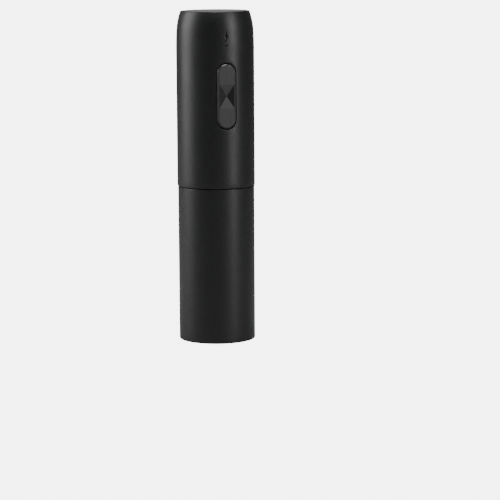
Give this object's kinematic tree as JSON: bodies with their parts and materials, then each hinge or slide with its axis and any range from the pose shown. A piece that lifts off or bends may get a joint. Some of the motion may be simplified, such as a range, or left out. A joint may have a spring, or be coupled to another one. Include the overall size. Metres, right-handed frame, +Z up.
{
  "type": "electric wine opener",
  "caption": "Cordless electric corkscrew: a rocker button runs a geared motor whose spiral draws the cork up inside a sleeve that fits over the bottle's neck.",
  "frame": {"origin": "centre of the sleeve's open mouth, in the plane of its lower edge", "axes": "+Z up along the axis; the rocker button faces -Y; +X to the right seen from the button's side"},
  "size_m": [0.05, 0.0504, 0.212],
  "materials": {
    "soft_touch_black": "soft-touch matte",
    "cap_black": "fine matte",
    "button_grey": "soft-touch matte",
    "inner_black": "moulded",
    "frame_grey": "moulded",
    "pad_rubber": "soft",
    "screw_steel": "plated",
    "bright_steel": "ground",
    "coated_steel": "non-stick coating",
    "can_steel": "plated",
    "cast_grey": "cast",
    "gear_plastic": "moulded",
    "gear_brass": "machined",
    "bronze": "sintered",
    "copper": "enamelled",
    "magnet_grey": "sintered",
    "carbon_black": "pressed",
    "motor_blue": "moulded",
    "capacitor_orange": "dipped",
    "cell_blue": "wrapped",
    "tab_nickel": "plated",
    "board_green": "solder mask",
    "chip_black": "moulded",
    "connector_white": "moulded",
    "led_white": "clear",
    "lens_dark": "tinted",
    "switch_black": "moulded",
    "plunger_red": "moulded",
    "lead_red": "insulated",
    "lead_black": "insulated"
  },
  "bodies": {
    "housing": {"handle_shell": "soft_touch_black", "top_cap": "cap_black", "case_screws": "screw_steel", "lower_sleeve": "soft_touch_black", "neck_guide": "inner_black", "cork_chamber": "inner_black", "lip_pad": "pad_rubber", "front_frame": "frame_grey", "rear_frame": "frame_grey", "frame_screws": "screw_steel", "gearbox_cover": "cast_grey", "ring_gear": "gear_plastic", "motor_plate": "can_steel", "gearbox_bolts": "screw_steel", "motor_screws": "screw_steel", "thrust_washer": "bronze", "bearing_outer_ring": "bright_steel", "motor_can": "can_steel", "motor_end_cap": "motor_blue", "motor_magnets": "magnet_grey", "motor_bushes": "bronze", "motor_brushes": "carbon_black", "motor_terminals": "gear_brass", "noise_capacitor": "capacitor_orange", "battery_cell": "cell_blue", "battery_tabs": "tab_nickel", "control_board": "board_green", "control_chips": "chip_black", "board_connectors": "connector_white", "indicator_led": "led_white", "indicator_lens": "lens_dark", "switch_bodies": "switch_black", "power_boards": "board_green", "charge_socket": "screw_steel", "charge_tongue": "chip_black", "red_leads": "lead_red", "black_leads": "lead_black"},
    "output": {"output_carrier": "bright_steel", "output_shaft": "bright_steel", "bearing_inner_ring": "bright_steel", "bearing_balls": "bright_steel", "spiral_holder": "inner_black", "holder_pins": "screw_steel", "corkscrew_spiral": "coated_steel"},
    "first_carrier": {"first_carrier": "bright_steel", "second_sun_gear": "gear_brass"},
    "rotor": {"motor_shaft": "bright_steel", "rotor_core": "can_steel", "rotor_windings": "copper", "commutator": "copper", "motor_pinion": "gear_brass"},
    "rocker": {"rocker_button": "button_grey"},
    "upper_plunger": {"upper_plunger": "plunger_red"},
    "lower_plunger": {"lower_plunger": "plunger_red"},
    "first_planet_a": {"first_planet_a": "gear_plastic"},
    "first_planet_b": {"first_planet_b": "gear_plastic"},
    "first_planet_c": {"first_planet_c": "gear_plastic"},
    "second_planet_a": {"second_planet_a": "bright_steel"},
    "second_planet_b": {"second_planet_b": "bright_steel"},
    "second_planet_c": {"second_planet_c": "bright_steel"}
  },
  "joints": [
    {"name": "output_spin", "type": "hinge", "parent": "housing", "child": "output", "pos_m": [0, 0, 0.084], "axis": [0, 0, 1], "continuous": true},
    {"name": "first_carrier_spin", "type": "hinge", "parent": "housing", "child": "first_carrier", "pos_m": [0, 0, 0.1174], "axis": [0, 0, 1], "continuous": true},
    {"name": "rotor_spin", "type": "hinge", "parent": "housing", "child": "rotor", "pos_m": [0, 0, 0.1244], "axis": [0, 0, 1], "continuous": true},
    {"name": "second_planet_a_spin", "type": "hinge", "parent": "output", "child": "second_planet_a", "pos_m": [0.009, 0, 0.10745], "axis": [0, 0, 1], "continuous": true},
    {"name": "first_planet_a_spin", "type": "hinge", "parent": "first_carrier", "child": "first_planet_a", "pos_m": [0.009, 0, 0.1174], "axis": [0, 0, 1], "continuous": true},
    {"name": "second_planet_b_spin", "type": "hinge", "parent": "output", "child": "second_planet_b", "pos_m": [-0.0045, 0.00779, 0.10745], "axis": [0, 0, 1], "continuous": true},
    {"name": "first_planet_b_spin", "type": "hinge", "parent": "first_carrier", "child": "first_planet_b", "pos_m": [-0.0045, 0.00779, 0.1174], "axis": [0, 0, 1], "continuous": true},
    {"name": "second_planet_c_spin", "type": "hinge", "parent": "output", "child": "second_planet_c", "pos_m": [-0.0045, -0.00779, 0.10745], "axis": [0, 0, 1], "continuous": true},
    {"name": "first_planet_c_spin", "type": "hinge", "parent": "first_carrier", "child": "first_planet_c", "pos_m": [-0.0045, -0.00779, 0.1174], "axis": [0, 0, 1], "continuous": true},
    {"name": "rocker_tilt", "type": "hinge", "parent": "housing", "child": "rocker", "pos_m": [0, -0.0192, 0.159], "axis": [-1, 0, 0], "range_deg": [-1.8, 1.8], "stiffness_Nm_per_rad": 2},
    {"name": "upper_plunger_slide", "type": "slide", "parent": "housing", "child": "upper_plunger", "axis": [0, 1, 0], "range_m": [-0.00042, 0.00042]},
    {"name": "lower_plunger_slide", "type": "slide", "parent": "housing", "child": "lower_plunger", "axis": [0, 1, 0], "range_m": [-0.00042, 0.00042]}
  ],
  "couplings": [
    {"joint": "first_carrier_spin", "follows": "output_spin", "ratio": 6},
    {"joint": "rotor_spin", "follows": "output_spin", "ratio": 36},
    {"joint": "second_planet_a_spin", "follows": "output_spin", "ratio": -2.5},
    {"joint": "first_planet_a_spin", "follows": "output_spin", "ratio": -15},
    {"joint": "second_planet_b_spin", "follows": "output_spin", "ratio": -2.5},
    {"joint": "first_planet_b_spin", "follows": "output_spin", "ratio": -15},
    {"joint": "second_planet_c_spin", "follows": "output_spin", "ratio": -2.5},
    {"joint": "first_planet_c_spin", "follows": "output_spin", "ratio": -15},
    {"joint": "upper_plunger_slide", "follows": "rocker_tilt", "m_per_rad": 0.013},
    {"joint": "lower_plunger_slide", "follows": "rocker_tilt", "m_per_rad": -0.013}
  ]
}
